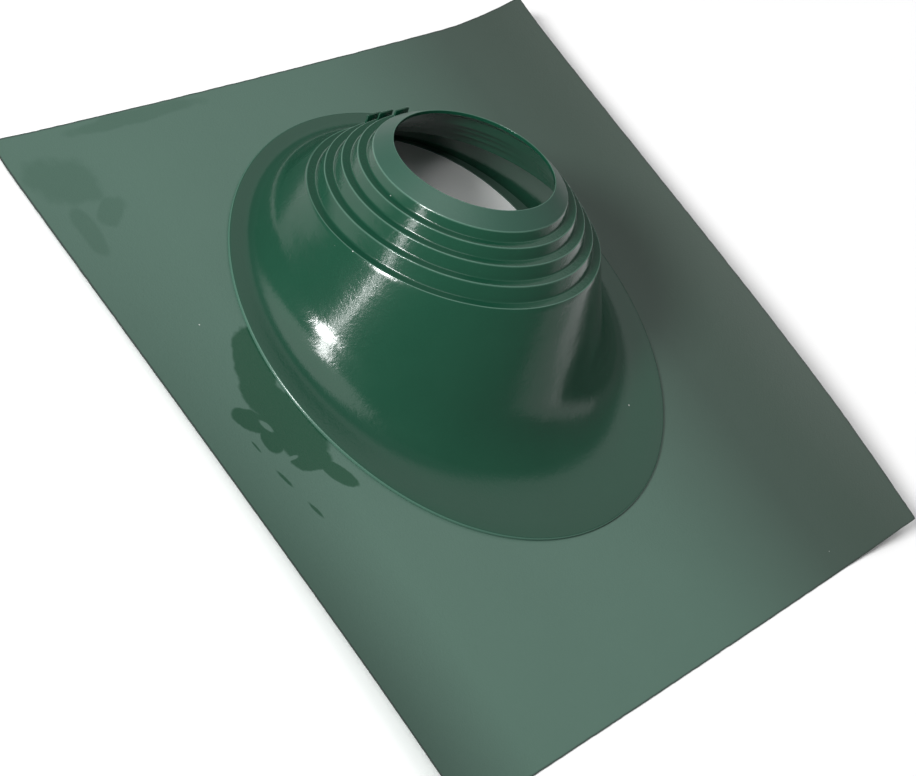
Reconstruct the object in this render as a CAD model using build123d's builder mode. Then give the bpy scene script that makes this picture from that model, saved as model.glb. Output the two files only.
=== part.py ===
from build123d import *
from math import cos, hypot, radians, sin, tan
import os

# A boot that seals a pipe where it goes through a pitched roof: a moulded rubber
# hood with a stepped collar, bonded on a square of thin coated sheet.
# The origin is the middle of the sheet on its underside, +Y points up the roof,
# +Z away from it. All lengths are in millimetres and all angles in degrees.

# Sheet
sheet_side = 680.0
sheet_thickness = 1.2
sheet_corner_radius = 4.0
top_edge_bow = 3.0
bottom_edge_bow = 1.5
trim_margin = 5.0

# Curl of the sheet's free border, as the height of its edge above the flat middle,
# at four stations from the lower corner to the upper one
right_edge_lift = [28.0, 35.0, 25.0, 24.0]
left_edge_lift = [27.0, 25.0, 4.0, 1.0]
top_edge_lift = 2.0
curl_clearance = 5.0

# Flange of the boot: two half ellipses that meet on its widest line, and how far their
# edge lies outside the lines where the cone would meet the flange
flange_widest_y = 51.5
flange_side_reach = 40.0
flange_back_reach = 22.5
flange_front_reach = 85.5
flange_thickness = 3.0

# Oval hole in the sheet: how far its edge lies inside the same lines
hole_side_inset = 20.0
hole_back_inset = 4.0
hole_front_inset = 42.0

# Collar of steps round the pipe's axis
wall = 3.0
pipe_tilt = 18.0
pipe_axis_y = 87.0
opening_distance = 138.8
opening_radius = 75.0
bevel_width = 15.9
bevel_drop = 11.9
step_count = 4
tread_width = 8.2
riser_draft = 18.0
first_riser_height = 8.9
riser_growth = 1.75
lip_chamfer = 0.5

# Cone under the collar: where its sides would meet the flange, and how far the
# flare that joins them reaches out along the flange and up the cone
cone_front_y = -105.0
cone_back_y = 257.0
cone_half_width = 185.0
flare_front = 45.0
flare_back = 13.0
flare_side = 21.0
flare_stations = 5

# How far the flare starts, and the inside ends, past the face that it runs out on
overrun = 0.6

# Size tabs that stand on the upper treads, at the back of the collar
tab_x = [8.0, 2.0, 3.0]
tab_width = 18.0
tab_thickness = 1.6
tab_edge_gap = 5.2
tab_corner_radius = 1.0
tab_root = 1.0

half_side = sheet_side / 2
sheet_top = sheet_thickness
flange_top = sheet_top + flange_thickness

flange_half_width = cone_half_width + flange_side_reach
flange_upper_length = cone_back_y + flange_back_reach - flange_widest_y
flange_lower_length = flange_widest_y - cone_front_y + flange_front_reach
hole_half_width = cone_half_width - hole_side_inset
hole_high_y = cone_back_y - hole_back_inset
hole_low_y = cone_front_y + hole_front_inset
hole_half_length = (hole_high_y - hole_low_y) / 2
hole_centre_y = (hole_high_y + hole_low_y) / 2

# The pipe's axis leans up the roof; down it, depth grows from the opening
axis_point = Vector(0, pipe_axis_y, 0)
axis_up = Vector(0, sin(radians(pipe_tilt)), cos(radians(pipe_tilt)))
axis_back = Vector(0, cos(radians(pipe_tilt)), -sin(radians(pipe_tilt)))
opening_centre = axis_point + axis_up * opening_distance

# Outer profile of the collar, as radius and depth, from the opening down
draft_slope = tan(radians(riser_draft))
outer_profile = [(opening_radius, 0.0), (opening_radius + bevel_width, bevel_drop)]
riser_height = first_riser_height
for step in range(step_count):
    edge_radius, edge_depth = outer_profile[-1]
    foot_radius = edge_radius + riser_height * draft_slope
    foot_depth = edge_depth + riser_height
    outer_profile.append((foot_radius, foot_depth))
    outer_profile.append((foot_radius + tread_width, foot_depth))
    riser_height += riser_growth
collar_radius, collar_depth = outer_profile[-1]

# The inside of the steps is the outside, moved down and in by one vector that keeps
# the wall even on the risers and on the treads
inward = wall * (1 / cos(radians(riser_draft)) - draft_slope)
inner_steps = [(radius - inward, depth + wall) for radius, depth in outer_profile[2:]]
inner_radius, inner_depth = inner_steps[-1]

# The throat is where the underside of the bevel meets the inside of the first riser
bevel_slope = bevel_drop / bevel_width
lip_depth = wall * hypot(bevel_width, bevel_drop) / bevel_width
first_foot_radius, first_foot_depth = inner_steps[0]
throat_run = first_foot_depth - lip_depth + opening_radius * bevel_slope
throat_radius = (first_foot_radius - draft_slope * throat_run) / (1 - draft_slope * bevel_slope)
throat_depth = lip_depth + (throat_radius - opening_radius) * bevel_slope


def mid_plane_point(depth, across):
    """a point of the plane x = 0, by its depth and its distance from the axis"""
    return opening_centre - axis_up * depth + axis_back * across


def oval(low, high, half_width):
    """plane and half axes of an oval, by the two points where it crosses x = 0"""
    across = high - low
    normal = Vector(1, 0, 0).cross(across).normalized()
    plane = Plane(origin=(low + high) * 0.5, x_dir=(1, 0, 0), z_dir=normal)
    return plane, half_width, across.length / 2


def bend(start, corner, end):
    """stations of a smooth bend from start to end, round a corner"""
    shares = [station / (flare_stations - 1) for station in range(flare_stations)]
    return [start * (1 - t) ** 2 + corner * (2 * t * (1 - t)) + end * t**2 for t in shares]


# Outside of the cone: a flare rises out of the flange, then runs straight to the collar
foot_level = flange_top - overrun
front_foot = Vector(0, cone_front_y, foot_level)
back_foot = Vector(0, cone_back_y, foot_level)
front_top = mid_plane_point(collar_depth, -collar_radius)
back_top = mid_plane_point(collar_depth, collar_radius)
front_slope = (front_top - front_foot).normalized()
back_slope = (back_top - back_foot).normalized()
front_end = front_foot + front_slope * flare_front
back_end = back_foot + back_slope * flare_back
front_share = flare_front / (front_top - front_foot).length
back_share = flare_back / (back_top - back_foot).length
side_end = cone_half_width - (cone_half_width - collar_radius) * (front_share + back_share) / 2
fronts = bend(front_foot - Vector(0, flare_front, 0), front_foot, front_end) + [front_top]
backs = bend(back_foot + Vector(0, flare_back, 0), back_foot, back_end) + [back_top]
sides = bend(cone_half_width + flare_side, cone_half_width, side_end) + [collar_radius]
cone_ovals = [oval(low, high, side) for low, high, side in zip(fronts, backs, sides)]

# Inside of the cone: straight all the way, parallel to the outside
cavity_level = sheet_top - overrun
cavity_front_top = mid_plane_point(inner_depth, -inner_radius)
cavity_back_top = mid_plane_point(inner_depth, inner_radius)
cavity_front_foot = (
    cavity_front_top + front_slope * ((cavity_level - cavity_front_top.Z) / front_slope.Z)
)
cavity_back_foot = (
    cavity_back_top + back_slope * ((cavity_level - cavity_back_top.Z) / back_slope.Z)
)
cavity_half_width = inner_radius + cone_half_width - collar_radius
cavity_ovals = [
    oval(cavity_front_foot, cavity_back_foot, cavity_half_width),
    oval(cavity_front_top, cavity_back_top, inner_radius),
]


# Curled sheet: nine patches, flat in the middle, each rising from the line where
# the curl starts
curl_x = flange_half_width + curl_clearance
curl_low_y = flange_widest_y - flange_lower_length - curl_clearance
curl_high_y = flange_widest_y + flange_upper_length + curl_clearance
reach_side = half_side + trim_margin
lower_corner_y = bottom_edge_bow - half_side
columns = [-reach_side, -curl_x, curl_x, reach_side]
rows = [-reach_side, curl_low_y, curl_high_y, reach_side]
rising = [0.0, 0.0, 1 / 3, 1.0]
level_run = [0.0, 0.0, 0.0, 0.0]
falling = list(reversed(rising))


def edge_run(lifts, band):
    """four control heights of one stretch of an edge, smooth from stretch to stretch"""
    spans = [high - low for low, high in zip(rows, rows[1:])]
    slopes = [(high - low) / span for low, high, span in zip(lifts, lifts[1:], spans)]
    ends = [slopes[0]] + [(a + b) / 2 for a, b in zip(slopes, slopes[1:])] + [slopes[-1]]
    third = spans[band] / 3
    return [
        lifts[band],
        lifts[band] + ends[band] * third,
        lifts[band + 1] - ends[band + 1] * third,
        lifts[band + 1],
    ]


def rim_gain(start):
    """height of the patches' rim against the height at the trimmed edge"""
    return ((reach_side - start) / (half_side - start)) ** 2


def sheet_patch(column, band):
    """one patch of the sheet's underside, from its net of control points"""
    across = [falling, level_run, rising][column]
    along = [level_run, level_run, rising][band]
    edge = edge_run(left_edge_lift if column == 0 else right_edge_lift, band)
    side_gain = rim_gain(curl_x)
    top_gain = rim_gain(curl_high_y)
    left, right = columns[column], columns[column + 1]
    low, high = rows[band], rows[band + 1]
    net = []
    for i in range(4):
        x = left + (right - left) * i / 3
        line = []
        for j in range(4):
            y = low + (high - low) * j / 3
            side_rise = across[i] * edge[j] * side_gain
            top_rise = along[j] * top_edge_lift * top_gain
            line.append(Vector(x, y, side_rise + top_rise))
        net.append(line)
    return Face.make_bezier_surface(net)


with BuildPart() as base_sheet:
    for column in range(3):
        for band in range(3):
            extrude(sheet_patch(column, band), amount=sheet_thickness, dir=(0, 0, 1))
    # Cut edges: straight at the sides, slightly bowed above and below
    with BuildSketch() as outline:
        with BuildLine():
            ThreePointArc(
                (-half_side, half_side), (0, half_side - top_edge_bow), (half_side, half_side)
            )
            Line((half_side, half_side), (half_side, lower_corner_y))
            ThreePointArc(
                (half_side, lower_corner_y), (0, -half_side), (-half_side, lower_corner_y)
            )
            Line((-half_side, lower_corner_y), (-half_side, half_side))
        make_face()
        fillet(outline.vertices(), radius=sheet_corner_radius)
    extrude(amount=sheet_side, both=True, mode=Mode.INTERSECT)
    # Hole that the pipe goes through
    with BuildSketch(Plane.XY.offset(-sheet_thickness)):
        with Locations((0, hole_centre_y)):
            Ellipse(hole_half_width, hole_half_length)
    extrude(amount=3 * sheet_thickness, mode=Mode.SUBTRACT)
base_sheet.part.label = "base_sheet"

# Sections of the collar and of its inside, in the plane x = 0: x runs out from the
# pipe's axis and y up it; both end one wall further down, inside the cone
section_plane = Plane(origin=opening_centre, x_dir=axis_back, z_dir=(1, 0, 0))
pipe_axis = Axis(opening_centre, axis_up)
last_radius, last_depth = outer_profile[-2]
collar_corners = [(0, 0)] + [(radius, -depth) for radius, depth in outer_profile[:-1]]
collar_corners += [(last_radius, -last_depth - wall), (0, -last_depth - wall)]
hollow_radius, hollow_depth = inner_steps[-2]
hollow_corners = [(0, overrun), (opening_radius, overrun), (opening_radius, -lip_depth)]
hollow_corners += [(throat_radius, -throat_depth)]
hollow_corners += [(radius, -depth) for radius, depth in inner_steps[:-1]]
hollow_corners += [(hollow_radius, -hollow_depth - wall), (0, -hollow_depth - wall)]

with BuildPart() as boot:
    # Flange
    with BuildSketch(Plane.XY.offset(sheet_top)):
        with BuildLine():
            EllipticalCenterArc(
                (0, flange_widest_y), flange_half_width, flange_upper_length, 0, arc_size=180
            )
            EllipticalCenterArc(
                (0, flange_widest_y), flange_half_width, flange_lower_length, 180, arc_size=180
            )
        make_face()
    extrude(amount=flange_thickness)
    # Flare, rising out of the flange
    for plane, half_width, half_length in cone_ovals[:-1]:
        with BuildSketch(plane):
            Ellipse(half_width, half_length)
    loft()
    # Straight cone, from the flare up to the lowest tread
    for plane, half_width, half_length in cone_ovals[-2:]:
        with BuildSketch(plane):
            Ellipse(half_width, half_length)
    loft(ruled=True)
    # Collar, turned round the pipe's axis and rooted in the cone
    with BuildSketch(section_plane):
        with BuildLine():
            Polyline(collar_corners, close=True)
        make_face()
    revolve(axis=pipe_axis)
    # Inside of the collar and of the cone
    with BuildSketch(section_plane):
        with BuildLine():
            Polyline(hollow_corners, close=True)
        make_face()
    revolve(axis=pipe_axis, mode=Mode.SUBTRACT)
    for plane, half_width, half_length in cavity_ovals:
        with BuildSketch(plane):
            Ellipse(half_width, half_length)
    loft(ruled=True, mode=Mode.SUBTRACT)
    # Softened lip of the opening
    lip = mid_plane_point(0, -opening_radius)
    chamfer(boot.edges().sort_by_distance(lip)[0], length=lip_chamfer)
    # Size tabs, each as tall as the riser behind it
    for tread, x in enumerate(tab_x):
        edge_radius, edge_depth = outer_profile[2 * tread + 3]
        riser_top = outer_profile[2 * tread + 1][1]
        tab_foot = mid_plane_point(edge_depth + tab_root, edge_radius - tab_edge_gap)
        tab_plane = Plane(origin=tab_foot, x_dir=(1, 0, 0), z_dir=-axis_back)
        with BuildSketch(tab_plane) as tab_face:
            with Locations((x, 0)):
                Rectangle(
                    tab_width,
                    edge_depth + tab_root - riser_top,
                    align=(Align.CENTER, Align.MIN),
                )
            fillet(tab_face.vertices().group_by(Axis.Y)[-1], radius=tab_corner_radius)
        extrude(amount=tab_thickness / 2, both=True)
boot.part.label = "boot"

os.makedirs("parts", exist_ok=True)
export_step(base_sheet.part, "parts/base_sheet.step")
export_step(boot.part, "parts/boot.step")
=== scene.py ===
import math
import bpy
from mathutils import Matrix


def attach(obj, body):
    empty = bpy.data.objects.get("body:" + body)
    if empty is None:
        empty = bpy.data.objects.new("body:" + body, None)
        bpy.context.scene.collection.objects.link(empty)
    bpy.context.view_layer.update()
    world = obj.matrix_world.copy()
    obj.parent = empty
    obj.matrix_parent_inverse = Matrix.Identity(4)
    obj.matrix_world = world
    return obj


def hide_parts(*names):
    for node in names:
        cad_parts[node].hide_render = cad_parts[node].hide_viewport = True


bl_info = {
    "name": "Pipe Flashing Boot",
    "version": (1, 0, 0),
    "blender": (4, 5, 0),
    "location": "View3D > Sidebar > Flashing",
    "description": "Models a stepped rubber pipe boot on its sheet, with finishes and studio",
    "category": "Add Mesh",
}

import bmesh
import bpy
from bpy.props import FloatProperty, FloatVectorProperty, IntProperty, PointerProperty
from bpy.types import Operator, Panel, PropertyGroup
from mathutils import Matrix, Vector, noise

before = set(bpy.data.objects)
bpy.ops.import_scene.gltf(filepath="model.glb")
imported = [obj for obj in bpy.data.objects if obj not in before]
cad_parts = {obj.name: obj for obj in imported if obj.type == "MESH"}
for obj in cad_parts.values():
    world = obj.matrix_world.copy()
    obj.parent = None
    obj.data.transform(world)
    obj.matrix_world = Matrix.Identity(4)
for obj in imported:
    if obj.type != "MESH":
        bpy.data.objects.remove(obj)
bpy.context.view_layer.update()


# Sizes and colours

class FlashingSheetSettings(PropertyGroup):
    side: FloatProperty(
        name="Side", description="Side of the square sheet", default=0.680, unit="LENGTH"
    )
    thickness: FloatProperty(
        name="Thickness", description="Thickness of the sheet", default=0.0012, unit="LENGTH"
    )
    corner_radius: FloatProperty(
        name="Corner radius", description="Rounding of its corners", default=0.004,
        unit="LENGTH",
    )
    top_bow: FloatProperty(
        name="Top bow", description="How far the top edge bows in", default=0.003,
        unit="LENGTH",
    )
    bottom_bow: FloatProperty(
        name="Bottom bow", description="How far the bottom edge bows out", default=0.0015,
        unit="LENGTH",
    )
    right_lift: FloatVectorProperty(
        name="Right lift",
        description="Height of the right edge at four stations, from the bottom up",
        size=4, default=(0.028, 0.035, 0.025, 0.024), unit="LENGTH",
    )
    left_lift: FloatVectorProperty(
        name="Left lift",
        description="Height of the left edge at four stations, from the bottom up",
        size=4, default=(0.027, 0.025, 0.004, 0.001), unit="LENGTH",
    )
    top_lift: FloatProperty(
        name="Top lift", description="Height of the top edge", default=0.002, unit="LENGTH"
    )
    hole_half_width: FloatProperty(
        name="Hole half width", description="Across the roof", default=0.165, unit="LENGTH"
    )
    hole_half_length: FloatProperty(
        name="Hole half length", description="Up the roof", default=0.158, unit="LENGTH"
    )
    hole_y: FloatProperty(
        name="Hole centre", description="Middle of the hole, up the roof", default=0.095,
        unit="LENGTH",
    )
    ragged: FloatProperty(
        name="Ragged edge", description="Unevenness of the cut edges", default=0.0006,
        unit="LENGTH",
    )
    rim: FloatProperty(
        name="Rim", description="Width of the dark rim at the cut edges", default=0.0022,
        unit="LENGTH",
    )
    cells: IntProperty(name="Cells", description="Grid cells along a side", default=150)
    colour: FloatVectorProperty(
        name="Coating", description="Colour of the sheet's coating", subtype="COLOR", size=3,
        min=0.0, max=1.0, default=(0.077, 0.149, 0.115),
    )


class FlashingBootSettings(PropertyGroup):
    wall: FloatProperty(
        name="Wall", description="Thickness of the rubber", default=0.003, unit="LENGTH"
    )
    flange_half_width: FloatProperty(
        name="Flange half width", description="Across the roof", default=0.225, unit="LENGTH"
    )
    flange_y: FloatProperty(
        name="Flange widest line", description="Its place up the roof", default=0.0515,
        unit="LENGTH",
    )
    flange_upper: FloatProperty(
        name="Flange upper length", description="From its widest line up the roof",
        default=0.228, unit="LENGTH",
    )
    flange_lower: FloatProperty(
        name="Flange lower length", description="From its widest line down the roof",
        default=0.242, unit="LENGTH",
    )
    flange_edge_radius: FloatProperty(
        name="Flange edge", description="Rounding over the flange's edge", default=0.0015,
        unit="LENGTH",
    )
    flange_under_radius: FloatProperty(
        name="Flange under edge", description="Rounding under the flange's edge",
        default=0.0006, unit="LENGTH",
    )
    tilt: FloatProperty(
        name="Tilt", description="Lean of the pipe's axis", default=math.radians(18.0),
        unit="ROTATION",
    )
    axis_y: FloatProperty(
        name="Axis foot", description="Where the pipe's axis meets the underside",
        default=0.087, unit="LENGTH",
    )
    opening_distance: FloatProperty(
        name="Opening distance", description="From there up the axis to the opening",
        default=0.1388, unit="LENGTH",
    )
    opening_radius: FloatProperty(
        name="Opening radius", description="Radius of the opening", default=0.075,
        unit="LENGTH",
    )
    bevel_width: FloatProperty(
        name="Bevel width", description="Of the bevel round the opening", default=0.0159,
        unit="LENGTH",
    )
    bevel_drop: FloatProperty(
        name="Bevel drop", description="Of the bevel round the opening", default=0.0119,
        unit="LENGTH",
    )
    steps: IntProperty(name="Steps", description="Steps of the collar", default=4)
    tread: FloatProperty(
        name="Tread", description="Width of each tread", default=0.0082, unit="LENGTH"
    )
    riser_draft: FloatProperty(
        name="Riser draft", description="Lean of each riser", default=math.radians(18.0),
        unit="ROTATION",
    )
    first_riser: FloatProperty(
        name="First riser", description="Height of the first riser", default=0.0089,
        unit="LENGTH",
    )
    riser_growth: FloatProperty(
        name="Riser growth", description="How much taller each next riser is",
        default=0.00175, unit="LENGTH",
    )
    step_foot_radius: FloatProperty(
        name="Step foot", description="Rounding at the foot of each riser", default=0.0012,
        unit="LENGTH",
    )
    ring_edge_radius: FloatProperty(
        name="Ring edge", description="Rounding of each ring's edge", default=0.0006,
        unit="LENGTH",
    )
    lip_radius: FloatProperty(
        name="Lip", description="Rounding of the opening's lip", default=0.0010, unit="LENGTH"
    )
    waviness: FloatProperty(
        name="Waviness", description="Slight unevenness of the cone", default=0.0003,
        unit="LENGTH",
    )
    cone_front: FloatProperty(
        name="Cone front", description="Where its front would meet the flange",
        default=-0.105, unit="LENGTH",
    )
    cone_back: FloatProperty(
        name="Cone back", description="Where its back would meet the flange",
        default=0.257, unit="LENGTH",
    )
    cone_half_width: FloatProperty(
        name="Cone half width", description="Where its sides would meet the flange",
        default=0.185, unit="LENGTH",
    )
    flare: FloatVectorProperty(
        name="Flare", description="Reach of the flare at the front, back and sides",
        size=3, default=(0.045, 0.013, 0.021), unit="LENGTH",
    )
    tab_x: FloatVectorProperty(
        name="Tab places", description="Place of each size tab across the roof", size=3,
        default=(0.008, 0.002, 0.003), unit="LENGTH",
    )
    tab_width: FloatProperty(
        name="Tab width", description="Width of a size tab", default=0.018, unit="LENGTH"
    )
    tab_thickness: FloatProperty(
        name="Tab thickness", description="Thickness of a size tab", default=0.0016,
        unit="LENGTH",
    )
    tab_edge_gap: FloatProperty(
        name="Tab edge gap", description="From a tab to the edge of its tread",
        default=0.0052, unit="LENGTH",
    )
    segments: IntProperty(name="Segments", description="Facets round the boot", default=320)
    colour: FloatVectorProperty(
        name="Rubber", description="Colour of the rubber", subtype="COLOR", size=3,
        min=0.0, max=1.0, default=(0.0045, 0.0450, 0.0240),
    )


class FlashingStageSettings(PropertyGroup):
    floor_size: FloatProperty(
        name="Floor", description="Side of the floor", default=24.0, unit="LENGTH"
    )
    floor_colour: FloatVectorProperty(
        name="Floor colour", description="Colour of the floor", subtype="COLOR", size=3,
        min=0.0, max=1.0, default=(0.98, 0.98, 0.98),
    )
    room_level: FloatProperty(
        name="Room level", description="Brightness of the room round the stage", default=0.22
    )


# Values that the sidebar doesn't offer, with lengths in metres

# Rings of faces in each form of the boot
CONE_RINGS = 16
FLARE_RINGS = 14
FLANGE_RINGS = 5
CAVITY_RINGS = 8
EDGE_RINGS = 4
LIP_RINGS = 6
TAB_EDGE_RINGS = 2
# Points closer than these count as one height, or are merged
NEAR = 1e-5
MERGE_DISTANCE = 2e-6
# Faces that turn by more than this, in degrees, keep a hard edge
SHARP_ANGLE = 35
TAB_SHARP_ANGLE = 50
# Edges of a tab's box, which turn by more than this, are rounded
TAB_BOX_ANGLE = 60

# How far the stations of the curl lie outside the flange and the sheet
STATION_MARGIN = 0.005
HOLE_SEGMENTS = 180
CUTTER_DEPTH = 0.04
# Noise of the cut edges: waves per metre, weight and layer. It fades by this power
EDGE_NOISE = ((45.0, 1.0, 3.0), (150.0, 0.6, 8.0))
EDGE_NOISE_POWER = 24

# Noise of the cone: waves per metre and weight, and the lengths over which it fades
CONE_NOISE = ((26.0, 1.0), (70.0, 0.4))
COLLAR_FADE = 0.05
FLANGE_FADE = 0.02
# Bloom of the flange, against 1 on the bevel, and how far up the flare it reaches
FLANGE_BLOOM = 0.12
FLANGE_BLOOM_REACH = 0.003
# A tab's depth in its tread, and the rounding of its upper corners and of its edges
TAB_ROOT = 0.001
TAB_CORNER = 0.001
TAB_EDGE = 0.00025
# Strength of the painted highlight on a tab's edges
TAB_PAINTED_HIGHLIGHT = 0.8

# Patches on the sheet: place across and up it, half sizes, turn in degrees. The gaps
# stay clear of the smears
SMEARS = (
    (-0.238, 0.070, 0.021, 0.045, 26.0),
    (-0.248, 0.043, 0.023, 0.026, 0.0),
    (-0.240, 0.006, 0.030, 0.040, 0.0),
    (-0.277, 0.027, 0.019, 0.0125, 34.0),
    (-0.268, 0.004, 0.012, 0.015, 20.0),
    (-0.244, -0.023, 0.023, 0.013, 10.0),
    (-0.227, -0.045, 0.009, 0.021, -32.0),
)
GAPS = (
    (-0.2652, 0.0178, 0.0034, 0.0085, -25.0),
    (-0.262, -0.0165, 0.0105, 0.0024, 0.0),
)
DASHES = (
    (-0.2893, 0.0035, 0.0015, 0.0075, -9.0),
    (-0.2828, -0.031, 0.0024, 0.012, -16.0),
    (-0.2731, -0.0655, 0.0024, 0.0115, -16.0),
)
STAINS = (
    (-0.295, 0.285, 0.042, 0.030, 20.0),
    (-0.270, 0.248, 0.024, 0.013, -30.0),
    (-0.185, 0.329, 0.090, 0.009, 0.0),
    (-0.305, 0.235, 0.014, 0.030, 0.0),
)

# Far lamps: name, azimuth, elevation and breadth in degrees, strength
FAR_LAMPS = (
    ("key_lamp", 169.5, 27.5, 13.0, 2.9),
    ("top_lamp", 140.0, 68.0, 50.0, 0.8),
)
# Softboxes: name, azimuth and elevation in degrees, distance, size, watts
SOFTBOXES = (
    ("near_softbox", 169.5, 40.0, 1.5, (0.16, 0.40), 6.4),
    ("low_strip", 173.5, 13.0, 2.6, (0.15, 0.50), 3.9),
    ("side_wall", -46.0, 6.0, 3.0, (2.9, 0.6), 2.2),
    ("back_softbox", 20.0, 45.0, 4.0, (3.4, 2.6), 15.0),
)
FAR_LAMP_DISTANCE = 3.0
SOFTBOX_AIM = (-0.1, 0.05, 0.05)

# Camera: lens and sensor in millimetres, its place, and where right, up and back lie
CAMERA_LENS = 81.9646
CAMERA_SENSOR = 36.0
CAMERA_PLACE = (-1.36360922, -0.39382571, 1.26932495)
CAMERA_AXES = (
    (0.65002575, -0.56882698, 0.50388727),
    (0.28563797, 0.79735439, 0.53163609),
    (-0.70418568, -0.20164781, 0.68077947),
)


# Help with objects and meshes

def new_object(name, data):
    """An object in the scene that holds the mesh, lamp or camera"""
    made = bpy.data.objects.new(name, data)
    bpy.context.scene.collection.objects.link(made)
    return made


def mesh_object(name, bm, materials=()):
    """An object in the scene made of the drawn mesh"""
    mesh = bpy.data.meshes.new(name)
    bm.to_mesh(mesh)
    bm.free()
    for material in materials:
        mesh.materials.append(material)
    return new_object(name, mesh)


def new_piece(name, bm, material, node):
    """An object made of the mesh, which rides on the part and stands for its node"""
    piece = mesh_object(name, bm, [material])
    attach(piece, "root")
    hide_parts(node)
    return piece


def smooth_but_edges(mesh, angle=SHARP_ANGLE):
    """Shades a mesh smooth, except over edges sharper than the angle"""
    for polygon in mesh.polygons:
        polygon.use_smooth = True
    mesh.set_sharp_from_angle(angle=math.radians(angle))


def added_verts(made):
    """The vertices among the things that a mesh operator made"""
    return [item for item in made["geom"] if isinstance(item, bmesh.types.BMVert)]


def round_off(bm, geom, offset, segments, affect):
    """Rounds corners or edges"""
    bmesh.ops.bevel(
        bm, geom=geom, offset=offset, offset_type="OFFSET", segments=segments,
        profile=0.5, affect=affect, material=-1,
    )


def widen_ring(bm, verts, matrix):
    """Extrudes a closed ring of vertices and takes the new ring through the matrix"""
    known = set(verts)
    ring = {edge for vert in verts for edge in vert.link_edges}
    ring = [edge for edge in ring if all(vert in known for vert in edge.verts)]
    new_verts = added_verts(bmesh.ops.extrude_edge_only(bm, edges=ring))
    bmesh.ops.transform(bm, matrix=matrix, verts=new_verts)
    return new_verts


def shares(count):
    """The shares of the way at which so many rings lie, up to the whole"""
    return [step / count for step in range(1, count + 1)]


def between(start, end, share):
    """The matrix that lies this share of the way from one oval to another"""
    return start * (1.0 - share) + end * share


def round_between(start, corner, end, share):
    """The matrix that lies this share of the way round the corner between two ovals"""
    return between(between(start, corner, share), between(corner, end, share), share)


# Sheet

def edge_stations(settings):
    """The lines up the sheet at which the lift of its edges is given"""
    boot = bpy.context.scene.flashing_boot
    half = settings.side / 2
    low = boot.flange_y - boot.flange_lower - STATION_MARGIN
    high = boot.flange_y + boot.flange_upper + STATION_MARGIN
    return (-half - STATION_MARGIN, low, high, half + STATION_MARGIN)


def lift_along(edge_lift, stations, y):
    """Height of an edge of the sheet at y, smooth from station to station"""
    spans = [b - a for a, b in zip(stations, stations[1:])]
    slopes = [(b - a) / span for a, b, span in zip(edge_lift, edge_lift[1:], spans)]
    ends = [slopes[0]] + [(a + b) / 2 for a, b in zip(slopes, slopes[1:])] + [slopes[-1]]
    band = min(max(sum(y > station for station in stations) - 1, 0), len(spans) - 1)
    span = spans[band]
    t = (y - stations[band]) / span
    rise = edge_lift[band] * (2 * t**3 - 3 * t**2 + 1)
    rise += ends[band] * span * (t**3 - 2 * t**2 + t)
    rise += edge_lift[band + 1] * (3 * t**2 - 2 * t**3)
    rise += ends[band + 1] * span * (t**3 - t**2)
    return rise


def curl(settings, x, y):
    """Height of the sheet's underside over the floor"""
    boot = bpy.context.scene.flashing_boot
    half = settings.side / 2
    stations = edge_stations(settings)
    start_x = boot.flange_half_width + STATION_MARGIN
    start_y = stations[2]
    side = max(abs(x) - start_x, 0.0) / (half - start_x)
    top = max(y - start_y, 0.0) / (half - start_y)
    edge_lift = settings.right_lift if x > 0 else settings.left_lift
    return side * side * lift_along(edge_lift, stations, y) + top * top * settings.top_lift


def rim_place(settings, share):
    """Moves the last but one line of the grid out to the rim of the cut edge"""
    half = settings.side / 2
    step = 2.0 / settings.cells
    if 1.0 - 1.5 * step < abs(share) < 1.0 - 0.5 * step:
        return math.copysign(half - settings.rim, share)
    return share * half


def edge_noise(x, y):
    """Unevenness of a cut edge at this place"""
    return sum(
        weight * noise.noise(Vector((x * waves, y * waves, layer)))
        for waves, weight, layer in EDGE_NOISE
    )


def model_sheet(settings):
    """The curled sheet, before its hole is cut"""
    half = settings.side / 2
    straight = half - settings.corner_radius
    bm = bmesh.new()
    bmesh.ops.create_grid(
        bm, x_segments=settings.cells, y_segments=settings.cells, size=half
    )
    cut = bm.verts.layers.float.new("cut")
    for vert in bm.verts:
        across, along = vert.co.x / half, vert.co.y / half
        x, y = rim_place(settings, across), rim_place(settings, along)
        # The outermost line of the grid is the cut edge
        vert[cut] = float(max(abs(across), abs(along)) > 0.999)
        # The top edge bows in and the bottom edge out
        if y > 0:
            y -= settings.top_bow * (1 - across**2) * along**3
        else:
            y += settings.bottom_bow * across**2 * abs(along) ** 3
        # All four edges are cut a little unevenly
        wave = edge_noise(x, y) * settings.ragged
        x -= math.copysign(wave * abs(across) ** EDGE_NOISE_POWER, x)
        y -= math.copysign(wave * abs(along) ** EDGE_NOISE_POWER, y)
        # Corners are slightly rounded
        inset_x, inset_y = abs(x) - straight, abs(y) - straight
        if inset_x > 0 and inset_y > 0:
            keep = min(1.0, settings.corner_radius / math.hypot(inset_x, inset_y))
            x = math.copysign(straight + inset_x * keep, x)
            y = math.copysign(straight + inset_y * keep, y)
        vert.co = (x, y, curl(settings, x, y))
    raised = added_verts(bmesh.ops.extrude_face_region(bm, geom=bm.faces[:]))
    bmesh.ops.translate(bm, verts=raised, vec=(0.0, 0.0, settings.thickness))
    bmesh.ops.recalc_face_normals(bm, faces=bm.faces[:])
    return bm


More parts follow.
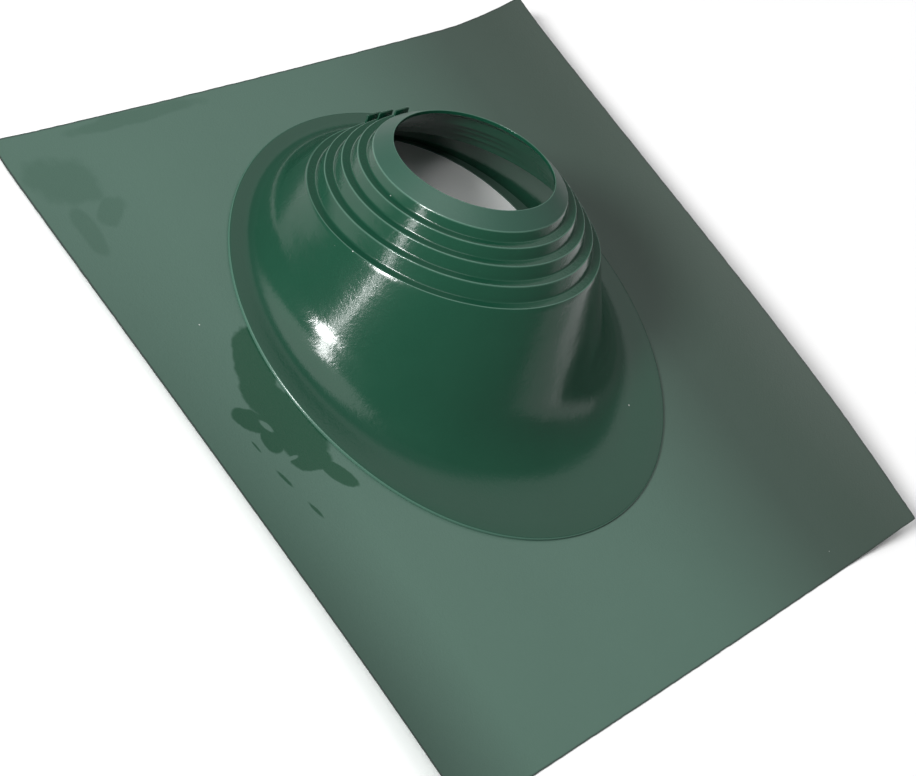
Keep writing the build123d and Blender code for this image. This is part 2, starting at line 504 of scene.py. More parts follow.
def cut_oval_hole(piece, settings):
    """Cuts the hole that the pipe goes through"""
    bm = bmesh.new()
    matrix = Matrix.Translation((0.0, settings.hole_y, 0.0))
    matrix @= Matrix.Diagonal((settings.hole_half_width, settings.hole_half_length, 1.0, 1.0))
    bmesh.ops.create_cone(
        bm, cap_ends=True, segments=HOLE_SEGMENTS, radius1=1.0, radius2=1.0,
        depth=CUTTER_DEPTH, matrix=matrix,
    )
    cutter = mesh_object("hole_cutter", bm)
    modifier = piece.modifiers.new("hole", "BOOLEAN")
    modifier.operation = "DIFFERENCE"
    modifier.solver = "EXACT"
    modifier.object = cutter
    depsgraph = bpy.context.evaluated_depsgraph_get()
    cut_mesh = bpy.data.meshes.new_from_object(piece.evaluated_get(depsgraph))
    piece.modifiers.clear()
    used_up = [piece.data, cutter.data]
    piece.data = cut_mesh
    bpy.data.objects.remove(cutter)
    for mesh in used_up:
        bpy.data.meshes.remove(mesh)
    cut_mesh.name = piece.name


# Boot

class BootLines:
    """Sections of the boot, worked out from its sizes"""

    def __init__(self, boot, sheet_top):
        self.boot = boot
        self.flange_under = sheet_top
        self.flange_top = sheet_top + boot.wall
        self.axis_up = Vector((0.0, math.sin(boot.tilt), math.cos(boot.tilt)))
        self.axis_back = Vector((0.0, math.cos(boot.tilt), -math.sin(boot.tilt)))
        self.opening = Vector((0.0, boot.axis_y, 0.0)) + self.axis_up * boot.opening_distance
        slope = math.tan(boot.riser_draft)
        outer = [
            (boot.opening_radius, 0.0),
            (boot.opening_radius + boot.bevel_width, boot.bevel_drop),
        ]
        riser = boot.first_riser
        for _ in range(boot.steps):
            radius, depth = outer[-1]
            outer.append((radius + riser * slope, depth + riser))
            outer.append((radius + riser * slope + boot.tread, depth + riser))
            riser += boot.riser_growth
        self.outer = outer
        inward = boot.wall * (1 / math.cos(boot.riser_draft) - slope)
        inner = [(radius - inward, depth + boot.wall) for radius, depth in outer[2:]]
        bevel = boot.bevel_drop / boot.bevel_width
        lip = boot.wall * math.hypot(boot.bevel_width, boot.bevel_drop) / boot.bevel_width
        run = inner[0][1] - lip + boot.opening_radius * bevel
        throat = (inner[0][0] - slope * run) / (1 - slope * bevel)
        self.inner = [
            (boot.opening_radius, lip),
            (throat, lip + (throat - boot.opening_radius) * bevel),
        ] + inner
        radius, depth = outer[-1]
        self.front_top = self.point(depth, -radius)
        self.back_top = self.point(depth, radius)
        self.front_foot = Vector((0.0, boot.cone_front, self.flange_top))
        self.back_foot = Vector((0.0, boot.cone_back, self.flange_top))
        self.front_slope = (self.front_top - self.front_foot).normalized()
        self.back_slope = (self.back_top - self.back_foot).normalized()

    def point(self, depth, across):
        """A point of the plane x = 0, by its depth and its distance from the axis"""
        return self.opening - self.axis_up * depth + self.axis_back * across

    def place(self, co):
        """Radius and depth of any point, round the pipe's axis"""
        offset = co - self.opening
        depth = -offset.dot(self.axis_up)
        return (offset + self.axis_up * depth).length, depth

    def oval(self, low, high, half_width):
        """Takes the unit circle to the oval through two points of the plane x = 0"""
        middle = (low + high) / 2
        along = (high - low) / 2
        normal = Vector((1.0, 0.0, 0.0)).cross(along).normalized()
        return Matrix((
            (half_width, along.x, normal.x, middle.x),
            (0.0, along.y, normal.y, middle.y),
            (0.0, along.z, normal.z, middle.z),
            (0.0, 0.0, 0.0, 1.0),
        ))

    def circle(self, radius, depth):
        """Takes the unit circle to a circle round the pipe's axis"""
        return self.oval(self.point(depth, -radius), self.point(depth, radius), radius)

    def flange_outline(self, level, inset=0.0):
        """Takes the unit circle to the flange's outline, whose lower half is longer"""
        boot = self.boot
        size = (boot.flange_half_width - inset, boot.flange_upper - inset, 1.0, 1.0)
        return Matrix.Translation((0.0, boot.flange_y, level)) @ Matrix.Diagonal(size)

    def cone_ovals(self):
        """Ovals of the cone's outside, from the collar down to the foot of the flare"""
        boot = self.boot
        radius = self.outer[-1][0]
        front_end = self.front_foot + self.front_slope * boot.flare[0]
        back_end = self.back_foot + self.back_slope * boot.flare[1]
        share = boot.flare[0] / (self.front_top - self.front_foot).length
        share = (share + boot.flare[1] / (self.back_top - self.back_foot).length) / 2
        side_end = boot.cone_half_width - (boot.cone_half_width - radius) * share
        top = self.circle(*self.outer[-1])
        flare_end = self.oval(front_end, back_end, side_end)
        corner = self.oval(self.front_foot, self.back_foot, boot.cone_half_width)
        flare_start = self.oval(
            self.front_foot - Vector((0.0, boot.flare[0], 0.0)),
            self.back_foot + Vector((0.0, boot.flare[1], 0.0)),
            boot.cone_half_width + boot.flare[2],
        )
        ovals = [top] + [between(top, flare_end, share) for share in shares(CONE_RINGS)]
        for share in shares(FLARE_RINGS):
            ovals.append(round_between(flare_end, corner, flare_start, share))
        return ovals

    def cavity_ovals(self):
        """Ovals of the cone's inside, from the sheet up to the inside of the collar"""
        radius, depth = self.inner[-1]
        front_top, back_top = self.point(depth, -radius), self.point(depth, radius)
        front_run = (self.flange_under - front_top.z) / self.front_slope.z
        back_run = (self.flange_under - back_top.z) / self.back_slope.z
        foot = self.oval(
            front_top + self.front_slope * front_run,
            back_top + self.back_slope * back_run,
            radius + self.boot.cone_half_width - self.outer[-1][0],
        )
        top = self.circle(radius, depth)
        return [foot] + [between(foot, top, share) for share in shares(CAVITY_RINGS)]


def draw_collar_section(bm, lines):
    """The wall of the collar in the plane x = 0, as one line with rounded corners"""
    boot = lines.boot
    radius, depth = lines.outer[-1]
    # Lines across the bevel, towards which the painted highlights on its two edges fade
    lip, ring = Vector(lines.outer[0]), Vector(lines.outer[1])
    bevel = [tuple(ring.lerp(lip, share)) for share in (0.12, 0.5, 0.88)]
    corners = [(radius - boot.ring_edge_radius, depth)]
    corners += list(reversed(lines.outer[1:-1])) + bevel + [lines.outer[0]] + lines.inner
    verts = [bm.verts.new(lines.point(depth, across)) for across, depth in corners]
    for start, end in zip(verts, verts[1:]):
        bm.edges.new((start, end))
    for index in range(boot.steps):
        foot, edge = verts[2 * index + 1], verts[2 * index + 2]
        round_off(bm, [foot], boot.step_foot_radius, EDGE_RINGS, "VERTICES")
        round_off(bm, [edge], boot.ring_edge_radius, EDGE_RINGS, "VERTICES")
    lip_vert = verts[2 * boot.steps + 1 + len(bevel)]
    round_off(bm, [lip_vert], boot.lip_radius, LIP_RINGS, "VERTICES")


def open_ring(bm, lines, depth):
    """The open ring of vertices at this depth below the opening"""
    verts = {vert for edge in bm.edges if edge.is_boundary for vert in edge.verts}
    return [vert for vert in verts if abs(lines.place(vert.co)[1] - depth) < NEAR]


def add_rings(bm, verts, previous, ovals):
    """Carries a ring from oval to oval"""
    for oval in ovals:
        verts = widen_ring(bm, verts, oval @ previous.inverted())
        previous = oval
    return verts


def stretch_lower_half(bm, verts, line_y, factor):
    """Stretches the half of a ring that lies down the roof from a line"""
    lower = [vert for vert in verts if vert.co.y < line_y]
    space = Matrix.Translation((0.0, -line_y, 0.0))
    bmesh.ops.scale(bm, vec=(1.0, factor, 1.0), verts=lower, space=space)


def model_boot(boot, sheet_top):
    """The whole moulding: collar, cone, flare, flange, wall and inside"""
    lines = BootLines(boot, sheet_top)
    bm = bmesh.new()
    draw_collar_section(bm, lines)
    bmesh.ops.spin(
        bm, geom=bm.verts[:] + bm.edges[:], cent=lines.opening, axis=lines.axis_up,
        angle=math.tau, steps=boot.segments, use_merge=True, use_duplicate=False,
    )
    # Over the lowest edge of the collar, down the cone and its flare
    radius, depth = lines.outer[-1]
    start = lines.circle(radius - boot.ring_edge_radius, depth)
    ovals = lines.cone_ovals()
    slant = (lines.front_top - lines.front_foot).length / CONE_RINGS
    shoulder = between(ovals[0], ovals[1], boot.ring_edge_radius / slant)
    rounding = [
        round_between(start, ovals[0], shoulder, share) for share in shares(EDGE_RINGS)
    ]
    verts = open_ring(bm, lines, depth)
    verts = add_rings(bm, verts, start, rounding + ovals[1:])
    # Out along the flange, and round its edge
    edge, under = boot.flange_edge_radius, boot.flange_under_radius
    flat = lines.flange_outline(lines.flange_top, edge)
    out = [between(ovals[-1], flat, share) for share in shares(FLANGE_RINGS)]
    verts = add_rings(bm, verts, ovals[-1], out)
    longer = boot.flange_lower / boot.flange_upper
    stretch_lower_half(bm, verts, boot.flange_y, longer)
    turns = []
    for share in shares(EDGE_RINGS):
        angle = share * math.pi / 2
        inset = edge * (1.0 - math.sin(angle))
        level = lines.flange_top - edge * (1.0 - math.cos(angle))
        turns.append(lines.flange_outline(level, inset))
    for share in [0.0] + shares(EDGE_RINGS):
        angle = share * math.pi / 2
        inset = under * (1.0 - math.cos(angle))
        level = lines.flange_under + under * (1.0 - math.sin(angle))
        turns.append(lines.flange_outline(level, inset))
    verts = add_rings(bm, verts, flat, turns)
    # Back in under the flange, and up the inside of the cone
    inside = lines.cavity_ovals()
    verts = widen_ring(bm, verts, Matrix.Identity(4))
    stretch_lower_half(bm, verts, boot.flange_y, 1.0 / longer)
    bmesh.ops.transform(bm, matrix=inside[0] @ turns[-1].inverted(), verts=verts)
    add_rings(bm, verts, inside[0], inside[1:])
    bmesh.ops.remove_doubles(bm, verts=bm.verts[:], dist=MERGE_DISTANCE)
    bmesh.ops.recalc_face_normals(bm, faces=bm.faces[:])
    ease_surface(bm, lines)
    mark_bloom_and_highlights(bm, lines)
    return bm


def ease_surface(bm, lines):
    """Gives the moulding the slight unevenness of thin rubber"""
    boot = lines.boot
    for vert in bm.verts:
        depth = lines.place(vert.co)[1]
        wave = sum(weight * noise.noise(vert.co * waves) for waves, weight in CONE_NOISE)
        fade = min(1.0, max(0.0, (depth - boot.bevel_drop) / COLLAR_FADE))
        fade *= min(1.0, max(0.0, (vert.co.z - lines.flange_top) / FLANGE_FADE))
        offset = vert.co - lines.opening
        outward = (offset + lines.axis_up * depth).normalized()
        vert.co += outward * (wave * boot.waviness * fade)


def mark_bloom_and_highlights(bm, lines):
    """Marks how chalky each place is, and paints highlights on the edges of lip, rings and
    flange
    """
    boot = lines.boot
    bloom = bm.verts.layers.float.new("bloom")
    painted_highlight = bm.verts.layers.float.new("painted_highlight")
    ring_edges = lines.outer[1::2]
    reach = boot.ring_edge_radius * 1.3
    lip_edge = boot.opening_radius + boot.lip_radius / 2
    for vert in bm.verts:
        radius, depth = lines.place(vert.co)
        if depth < boot.bevel_drop and radius > lip_edge:
            vert[bloom] = 1.0
        elif vert.co.z < lines.flange_top + FLANGE_BLOOM_REACH:
            vert[bloom] = FLANGE_BLOOM
        gap = min(math.hypot(radius - r, depth - d) for r, d in ring_edges)
        on_lip = depth < boot.lip_radius and radius < boot.opening_radius + boot.lip_radius
        on_rim = lines.flange_under + NEAR < vert.co.z < lines.flange_top - NEAR
        # Painted highlight: the lip, the ring edges and the flange's rim are drawn lighter,
        # as where they catch the light
        vert[painted_highlight] = float(on_lip or gap < reach or on_rim)


def model_tabs(boot, sheet_top):
    """The three small upright size tabs on the upper treads"""
    lines = BootLines(boot, sheet_top)
    bm = bmesh.new()
    turn = Matrix((
        (1.0, 0.0, 0.0),
        (0.0, lines.axis_back.y, lines.axis_up.y),
        (0.0, lines.axis_back.z, lines.axis_up.z),
    )).to_4x4()
    for tread, x in enumerate(boot.tab_x):
        radius, depth = lines.outer[2 * tread + 3]
        riser_top = lines.outer[2 * tread + 1][1]
        height = depth + TAB_ROOT - riser_top
        middle = lines.point(depth + TAB_ROOT - height / 2, radius - boot.tab_edge_gap)
        size = Matrix.Diagonal((boot.tab_width, boot.tab_thickness, height, 1.0))
        matrix = Matrix.Translation(middle + Vector((x, 0.0, 0.0))) @ turn @ size
        tab = bmesh.ops.create_cube(bm, size=1.0, matrix=matrix)["verts"]
        top = sorted(tab, key=lambda vert: vert.co.dot(lines.axis_up))[4:]
        ends = [
            edge for edge in {edge for vert in top for edge in vert.link_edges}
            if all(vert in top for vert in edge.verts)
            and abs((edge.verts[0].co - edge.verts[1].co).x) < NEAR
        ]
        round_off(bm, ends, TAB_CORNER, EDGE_RINGS, "EDGES")
    box_angle = math.radians(TAB_BOX_ANGLE)
    sharp = [edge for edge in bm.edges if edge.calc_face_angle(0.0) > box_angle]
    round_off(bm, sharp, TAB_EDGE, TAB_EDGE_RINGS, "EDGES")
    bmesh.ops.recalc_face_normals(bm, faces=bm.faces[:])
    # Painted highlight where the faces turn. The tabs have no bloom
    bm.verts.layers.float.new("bloom")
    painted_highlight = bm.verts.layers.float.new("painted_highlight")
    for vert in bm.verts:
        vert[painted_highlight] = TAB_PAINTED_HIGHLIGHT * (abs(vert.calc_shell_factor() - 1.0) > 0.2)
    return bm


# Finishes

def put(tree, kind, place, inputs=(), **attributes):
    """Adds a node, and sets its attributes and its inputs' values or links"""
    node = tree.nodes.new(kind)
    node.location = place
    for name, value in attributes.items():
        setattr(node, name, value)
    for socket, value in dict(inputs).items():
        if isinstance(value, bpy.types.NodeSocket):
            tree.links.new(value, node.inputs[socket])
        else:
            node.inputs[socket].default_value = value
    return node


def calculate(tree, place, operation, *values, **attributes):
    """Adds a node that works out one value from others"""
    inputs = dict(enumerate(values))
    node = put(tree, "ShaderNodeMath", place, inputs, operation=operation, **attributes)
    return node.outputs[0]


def soft_noise(tree, place, vector, scale, detail, **more):
    """Adds a noise texture, whose further inputs go by their names"""
    inputs = {"Vector": vector, "Scale": scale, "Detail": detail, **more}
    return put(tree, "ShaderNodeTexNoise", place, inputs).outputs["Fac"]


def mark(tree, place, name):
    """Reads a mark that was made on the mesh"""
    return put(tree, "ShaderNodeAttribute", place, attribute_name=name).outputs["Fac"]


def new_group(name, inputs, output):
    """A shader node group, with what it is given and where its one output goes"""
    group = bpy.data.node_groups.new(name, "ShaderNodeTree")
    for socket, value in inputs.items():
        kind = "NodeSocketFloat" if isinstance(value, float) else "NodeSocketVector"
        made = group.interface.new_socket(socket, in_out="INPUT", socket_type=kind)
        if value is not None:
            made.default_value = value
    group.interface.new_socket(output, in_out="OUTPUT", socket_type="NodeSocketFloat")
    start = put(group, "NodeGroupInput", (-900, 0))
    end = put(group, "NodeGroupOutput", (700, 0))
    return group, start.outputs, end.inputs[output]


def fine_grain_group():
    """Moulded or coated grain, from broad unevenness down to a fine tooth"""
    group, given, end = new_group(
        "fine_grain", {"Vector": None, "Scale": 300.0, "Tooth": 0.5}, "Height"
    )
    where, scale = given["Vector"], given["Scale"]
    broad = soft_noise(group, (-600, 150), where, scale, 3.0, Roughness=0.55)
    finer_scale = calculate(group, (-700, -120), "MULTIPLY", scale, 3.4)
    finer = soft_noise(group, (-500, -120), where, finer_scale, 2.0)
    tooth = calculate(group, (-250, -120), "MULTIPLY", finer, given["Tooth"])
    height = calculate(group, (0, 0), "ADD", broad, tooth)
    group.links.new(height, end)
    return group


def speck_group():
    """Small scattered specks of dust, some cells empty"""
    group, given, end = new_group(
        "dust_specks", {"Vector": None, "Scale": 60.0, "Size": 0.05, "Share": 0.3}, "Mask"
    )
    cells = put(group, "ShaderNodeTexVoronoi", (-600, 100), {
        "Vector": given["Vector"], "Scale": given["Scale"],
    })
    chance = put(group, "ShaderNodeSeparateColor", (-350, 200), {
        "Color": cells.outputs["Color"],
    }).outputs
    reach = calculate(group, (-350, 20), "MULTIPLY", chance["Green"], given["Size"])
    inside = calculate(group, (-100, 0), "LESS_THAN", cells.outputs["Distance"], reach)
    kept = calculate(group, (-100, 200), "LESS_THAN", chance["Red"], given["Share"])
    mask = calculate(group, (150, 100), "MULTIPLY", inside, kept)
    group.links.new(mask, end)
    return group


def patch_group():
    """An oval patch with a ragged edge, such as a smear or a stain"""
    group, given, end = new_group("ragged_patch", {
        "Vector": None, "Centre": None, "Half Size": (0.05, 0.05, 0.05), "Turn": 0.0,
        "Ragged": 0.3, "Ragged Scale": 30.0, "Softness": 0.1,
    }, "Mask")
    offset = put(group, "ShaderNodeVectorMath", (-700, 100), {
        0: given["Vector"], 1: given["Centre"],
    }, operation="SUBTRACT")
    turned = put(group, "ShaderNodeVectorRotate", (-500, 100), {
        "Vector": offset.outputs[0], "Angle": given["Turn"],
    }, rotation_type="Z_AXIS")
    scaled = put(group, "ShaderNodeVectorMath", (-300, 100), {
        0: turned.outputs[0], 1: given["Half Size"],
    }, operation="DIVIDE")
    distance = put(group, "ShaderNodeVectorMath", (-100, 100), {
        0: scaled.outputs[0],
    }, operation="LENGTH")
    where, scale = given["Vector"], given["Ragged Scale"]
    waves = soft_noise(group, (-500, -200), where, scale, 3.0)
    centred = calculate(group, (-300, -200), "SUBTRACT", waves, 0.5)
    ragged = calculate(
        group, (-100, -200), "MULTIPLY_ADD", centred, given["Ragged"],
        distance.outputs["Value"],
    )
    inner = calculate(group, (50, -350), "SUBTRACT", 1.0, given["Softness"])
    mask = put(group, "ShaderNodeMapRange", (300, 0), {
        "Value": ragged, "From Min": 1.0, "From Max": inner,
    }, interpolation_type="SMOOTHSTEP")
    group.links.new(mask.outputs[0], end)
    return group


def shared_group(name):
    """A node group that several finishes use, built on first use"""
    makers = {
        "fine_grain": fine_grain_group, "dust_specks": speck_group,
        "ragged_patch": patch_group,
    }
    return bpy.data.node_groups.get(name) or makers[name]()


def put_group(tree, name, place, inputs):
    """Places a shared group in a finish"""
    node = put(tree, "ShaderNodeGroup", place, inputs, node_tree=shared_group(name))
    return node.outputs[0]


def new_material(name):
    """A material with its shader, and the object's own coordinates"""
    material = bpy.data.materials.new(name)
    material.use_nodes = True
    tree = material.node_tree
    shader = tree.nodes["Principled BSDF"]
    where = put(tree, "ShaderNodeTexCoord", (-1600, 0)).outputs["Object"]
    return material, tree, shader, where


def mix_colours(tree, place, factor, first, second):
    """Mixes two colours by a factor"""
    inputs = {0: factor, 6: first, 7: second}
    return put(tree, "ShaderNodeMix", place, inputs, data_type="RGBA").outputs[2]


def map_range(tree, place, value, low, high):
    """Spreads a value of 0 to 1 between two others"""
    inputs = {"Value": value, "To Min": low, "To Max": high}
    return put(tree, "ShaderNodeMapRange", place, inputs).outputs[0]


def tinted(colour, factors):
    """The colour with each channel taken by its factor"""
    return (*[value * factor for value, factor in zip(colour, factors)], 1.0)


def finish_shader(tree, shader, colour, roughness, height, depth):
    """Gives a shader its colour, its roughness and a relief of this depth"""
    bump = put(tree, "ShaderNodeBump", (-450, -300), {"Height": height, "Distance": depth})
    tree.links.new(colour, shader.inputs["Base Color"])
    tree.links.new(roughness, shader.inputs["Roughness"])
    tree.links.new(bump.outputs[0], shader.inputs["Normal"])


def rubber_material(colour):
    """Glossy moulded rubber, with a chalky bloom where it is marked, and painted highlights
    on its edges
    """
    material, tree, shader, where = new_material("moulded_rubber")
    bloom = mark(tree, (-1600, 300), "bloom")
    clouds = soft_noise(tree, (-1300, 300), where, 14.0, 4.0, Roughness=0.6)
    pale = (*[min(1.0, value * 1.5 + 0.008) for value in colour], 1.0)
    cloudy = map_range(tree, (-1100, 300), clouds, 0.0, 0.35)
    toned = mix_colours(tree, (-900, 400), cloudy, (*colour, 1.0), pale)
    chalk = (0.020, 0.069, 0.047, 1.0)
    chalky = mix_colours(tree, (-700, 400), bloom, toned, chalk)
    # Painted highlights on the edges keep to a thin line: the mark fades quickly across the
    # wide faces
    painted_highlight = mark(tree, (-1600, 500), "painted_highlight")
    thin = calculate(tree, (-1400, 500), "POWER", painted_highlight, 40.0)
    light = map_range(tree, (-800, 550), thin, 0.0, 0.42)
    # The lighter colour that paints the edge highlights
    edge_tone = (0.120, 0.230, 0.180, 1.0)
    edged = mix_colours(tree, (-600, 500), light, chalky, edge_tone)
    specks = put_group(tree, "dust_specks", (-900, 100), {
        "Vector": where, "Scale": 42.0, "Size": 0.045, "Share": 0.22,
    })
    dust = (0.50, 0.52, 0.50, 1.0)
    dusty = mix_colours(tree, (-450, 300), specks, edged, dust)
    gloss = map_range(tree, (-700, 0), clouds, 0.11, 0.21)
    roughness = calculate(tree, (-450, 0), "MULTIPLY_ADD", bloom, 0.34, gloss)
    # Fine grain over the slight orange peel of a moulding
    peel = soft_noise(tree, (-900, -500), where, 190.0, 2.0, Distortion=0.6)
    grain = put_group(tree, "fine_grain", (-900, -300), {
        "Vector": where, "Scale": 620.0, "Tooth": 0.5,
    })
    relief = calculate(tree, (-650, -300), "MULTIPLY_ADD", grain, 0.30, peel)
    finish_shader(tree, shader, dusty, roughness, relief, 0.00012)
    return material


def union(tree, place, masks):
    """The mask that covers what any of the masks covers"""
    covered = masks[0]
    for index, mask in enumerate(masks[1:]):
        spot = (place[0] + 160 * index, place[1])
        covered = calculate(tree, spot, "MAXIMUM", covered, mask)
    return covered


def ragged_patches(tree, where, top, patches, ragged, scale, soft):
    """One mask of several oval patches with ragged edges"""
    masks = []
    for index, (x, y, half_x, half_y, turn) in enumerate(patches):
        masks.append(put_group(tree, "ragged_patch", (-1300, top - 260 * index), {
            "Vector": where, "Centre": (x, y, 0.0), "Half Size": (half_x, half_y, 1.0),
            "Turn": math.radians(turn), "Ragged": ragged, "Ragged Scale": scale,
            "Softness": soft,
        }))
    return union(tree, (-1050, top), masks)


def oily_and_stained(tree, where):
    """The mask of the sheet's oily smears, and of its fainter stains"""
    smears = ragged_patches(tree, where, -700, SMEARS, ragged=0.42, scale=70.0, soft=0.16)
    gaps = ragged_patches(tree, where, -5000, GAPS, ragged=0.50, scale=90.0, soft=0.35)
    smears = calculate(tree, (-900, -800), "SUBTRACT", smears, gaps, use_clamp=True)
    dashes = ragged_patches(tree, where, -2400, DASHES, ragged=0.5, scale=120.0, soft=0.5)
    wet = union(tree, (-800, -900), [smears, dashes])
    stains = ragged_patches(tree, where, -3100, STAINS, ragged=0.9, scale=45.0, soft=0.35)
    faint = calculate(tree, (-800, -1100), "MULTIPLY", stains, 0.28)
    return union(tree, (-650, -1000), [wet, faint])


def coating_material(colour):
    """Painted coating of the sheet, with faint stains and oily smears by the flange, and
    painted shade towards its right side
    """
    material, tree, shader, where = new_material("sheet_coating")
    clouds = soft_noise(tree, (-1300, 300), where, 5.0, 5.0, Roughness=0.6)
    cloudy = map_range(tree, (-1100, 300), clouds, 0.0, 0.6)
    dark = tinted(colour, (0.82, 0.82, 0.82))
    toned = mix_colours(tree, (-900, 400), cloudy, (*colour, 1.0), dark)
    # Painted shade: the coating is drawn darker and browner towards its right side
    axes = put(tree, "ShaderNodeSeparateXYZ", (-1300, 600), {"Vector": where})
    right_shade = put(tree, "ShaderNodeMapRange", (-1100, 600), {
        "Value": axes.outputs["X"], "From Min": 0.0, "From Max": 0.34,
    }, interpolation_type="SMOOTHSTEP").outputs[0]
    shade_colour = tinted(colour, (0.40, 0.34, 0.34))
    shaded = mix_colours(tree, (-750, 500), right_shade, toned, shade_colour)
    patched = oily_and_stained(tree, where)
    oily = tinted(colour, (0.14, 0.42, 0.29))
    smeared = mix_colours(tree, (-600, 400), patched, shaded, oily)
    # A dark rim along the cut edges
    cut = mark(tree, (-1600, 300), "cut")
    edge_tone = calculate(tree, (-1100, -200), "POWER", cut, 1.5)
    rim_colour = (0.010, 0.018, 0.015, 1.0)
    edged = mix_colours(tree, (-450, 300), edge_tone, smeared, rim_colour)
    specks = put_group(tree, "dust_specks", (-900, 100), {
        "Vector": where, "Scale": 30.0, "Size": 0.03, "Share": 0.15,
    })
    dust = (0.55, 0.57, 0.55, 1.0)
    dusty = mix_colours(tree, (-250, 300), specks, edged, dust)
    satin = map_range(tree, (-700, 0), clouds, 0.38, 0.50)
    roughness = calculate(tree, (-450, 0), "MULTIPLY_ADD", patched, -0.10, satin)
    grain = put_group(tree, "fine_grain", (-900, -300), {
        "Vector": where, "Scale": 420.0, "Tooth": 0.7,
    })
    finish_shader(tree, shader, dusty, roughness, grain, 0.00018)
    return material


def floor_material(colour):
    """Plain pale floor"""
    material = bpy.data.materials.new("pale_floor")
    material.use_nodes = True
    shader = material.node_tree.nodes["Principled BSDF"]
    shader.inputs["Base Color"].default_value = (*colour, 1.0)
    shader.inputs["Roughness"].default_value = 0.9
    shader.inputs["Specular IOR Level"].default_value = 0.0
    return material


# Stage

def add_floor(settings):
    """A plain pale floor under the part"""
    bm = bmesh.new()
    bmesh.ops.create_grid(bm, x_segments=8, y_segments=8, size=settings.floor_size / 2)
    floor = mesh_object("studio_floor", bm, [floor_material(settings.floor_colour)])


def add_room(settings):
    """Plain even light from the room"""
    world = bpy.data.worlds.new("studio_room")
    world.use_nodes = True
    background = world.node_tree.nodes["Background"]
    background.inputs["Color"].default_value = (1.0, 1.0, 1.0, 1.0)
    background.inputs["Strength"].default_value = settings.room_level
    bpy.context.scene.world = world


def towards(azimuth, elevation, distance):
    """A place in that direction from the part, the angles in degrees"""
    azimuth, elevation = math.radians(azimuth), math.radians(elevation)
    flat = math.cos(elevation) * distance
    return Vector((
        flat * math.cos(azimuth), flat * math.sin(azimuth), math.sin(elevation) * distance,
    ))


def add_lamp(name, data, place, aim=(0.0, 0.0, 0.0)):
    """A lamp that points from its place at another"""
    lamp = new_object(name, data)
    lamp.location = place
    lamp.rotation_euler = (Vector(aim) - place).to_track_quat("-Z", "Y").to_euler()


def add_softbox(name, azimuth, elevation, distance, size, watts):
    """A soft rectangular lamp that points at the cone"""
    data = bpy.data.lights.new(name, "AREA")
    data.shape = "RECTANGLE"
    data.size, data.size_y = size
    data.energy = watts
    add_lamp(name, data, towards(azimuth, elevation, distance), SOFTBOX_AIM)


def add_far_lamp(name, azimuth, elevation, breadth, strength):
    """A lamp so far away that it lights the whole floor alike"""
    data = bpy.data.lights.new(name, "SUN")
    data.angle = math.radians(breadth)
    data.energy = strength
    add_lamp(name, data, towards(azimuth, elevation, FAR_LAMP_DISTANCE))


def add_camera():
    """The camera that sees the part as the photograph does"""
    data = bpy.data.cameras.new("photo_camera")
    data.lens = CAMERA_LENS
    data.sensor_fit = "HORIZONTAL"
    data.sensor_width = CAMERA_SENSOR
    data.clip_start = 0.01
    data.clip_end = 100.0
    camera = new_object("photo_camera", data)
    rotation = Matrix(CAMERA_AXES).transposed().to_4x4()
    camera.matrix_world = Matrix.Translation(CAMERA_PLACE) @ rotation
    bpy.context.scene.camera = camera


# Operators

class FLASHING_OT_sheet(Operator):
    """Builds the coated metal sheet that the boot is bonded on"""

    bl_idname = "flashing.sheet"
    bl_label = "Coated Sheet"

    def execute(self, context):
        settings = context.scene.flashing_sheet
        bm = model_sheet(settings)
        coating = coating_material(settings.colour)
        sheet = new_piece("coated_panel", bm, coating, "base_sheet")
        cut_oval_hole(sheet, settings)
        smooth_but_edges(sheet.data)
        return {"FINISHED"}


class FLASHING_OT_boot(Operator):
    """Builds the rubber moulding: collar, cone, flare and flange"""

    bl_idname = "flashing.boot"
    bl_label = "Rubber Boot"

    def execute(self, context):
        boot = context.scene.flashing_boot
        bm = model_boot(boot, context.scene.flashing_sheet.thickness)
        rubber = rubber_material(boot.colour)
        moulding = new_piece("boot_moulding", bm, rubber, "boot")
        smooth_but_edges(moulding.data)
        return {"FINISHED"}


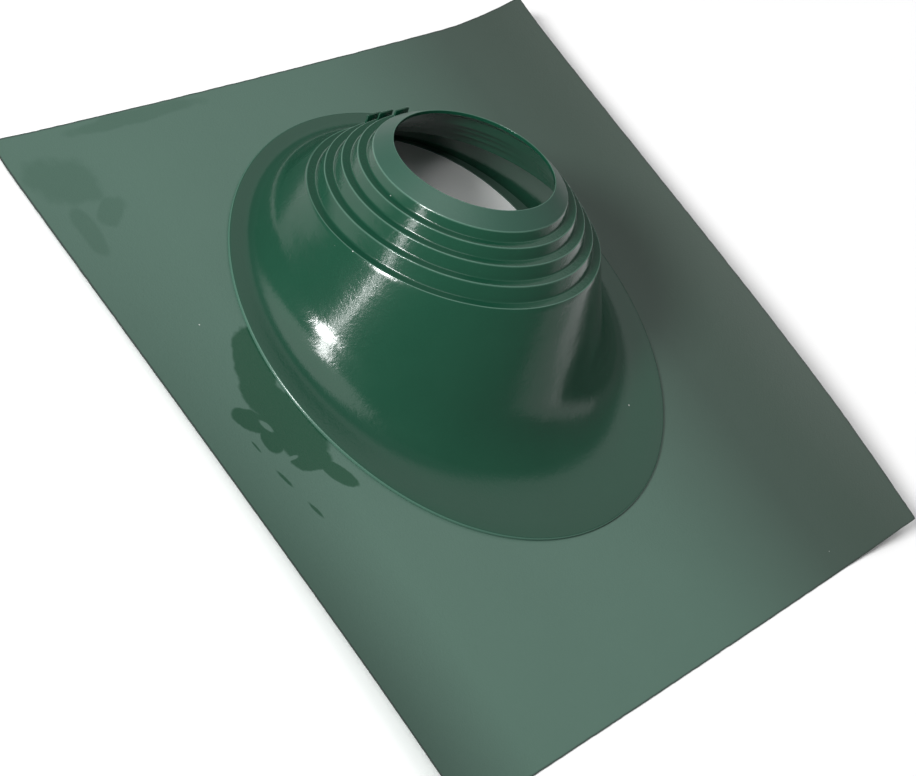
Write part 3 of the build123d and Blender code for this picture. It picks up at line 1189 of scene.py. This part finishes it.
class FLASHING_OT_size_tabs(Operator):
    """Builds the small upright size tabs on the upper treads"""

    bl_idname = "flashing.size_tabs"
    bl_label = "Size Tabs"

    def execute(self, context):
        boot = context.scene.flashing_boot
        bm = model_tabs(boot, context.scene.flashing_sheet.thickness)
        made = bpy.data.materials.get("moulded_rubber")
        rubber = made or rubber_material(boot.colour)
        tabs = new_piece("size_tabs", bm, rubber, "boot")
        smooth_but_edges(tabs.data, TAB_SHARP_ANGLE)
        return {"FINISHED"}


class FLASHING_OT_stage(Operator):
    """Sets up the floor, the soft light and the camera"""

    bl_idname = "flashing.stage"
    bl_label = "Studio Stage"

    def execute(self, context):
        settings = context.scene.flashing_stage
        add_floor(settings)
        add_room(settings)
        for far_lamp in FAR_LAMPS:
            add_far_lamp(*far_lamp)
        for softbox in SOFTBOXES:
            add_softbox(*softbox)
        add_camera()
        context.scene.view_settings.view_transform = "Standard"
        return {"FINISHED"}


class FLASHING_PT_tools(Panel):
    """Lists the steps that build the part"""

    bl_idname = "FLASHING_PT_tools"
    bl_label = "Pipe Flashing Boot"
    bl_space_type = "VIEW_3D"
    bl_region_type = "UI"
    bl_category = "Flashing"

    def draw(self, context):
        for operator in ("sheet", "boot", "size_tabs", "stage"):
            self.layout.operator("flashing." + operator)


classes = (
    FlashingSheetSettings,
    FlashingBootSettings,
    FlashingStageSettings,
    FLASHING_OT_sheet,
    FLASHING_OT_boot,
    FLASHING_OT_size_tabs,
    FLASHING_OT_stage,
    FLASHING_PT_tools,
)


def register():
    for cls in classes:
        bpy.utils.register_class(cls)
    bpy.types.Scene.flashing_sheet = PointerProperty(type=FlashingSheetSettings)
    bpy.types.Scene.flashing_boot = PointerProperty(type=FlashingBootSettings)
    bpy.types.Scene.flashing_stage = PointerProperty(type=FlashingStageSettings)


def unregister():
    del bpy.types.Scene.flashing_stage
    del bpy.types.Scene.flashing_boot
    del bpy.types.Scene.flashing_sheet
    for cls in reversed(classes):
        bpy.utils.unregister_class(cls)


def main():
    register()
    bpy.ops.flashing.sheet()
    bpy.ops.flashing.boot()
    bpy.ops.flashing.size_tabs()
    bpy.ops.flashing.stage()
    bpy.context.view_layer.update()


if __name__ == "__main__":
    main()
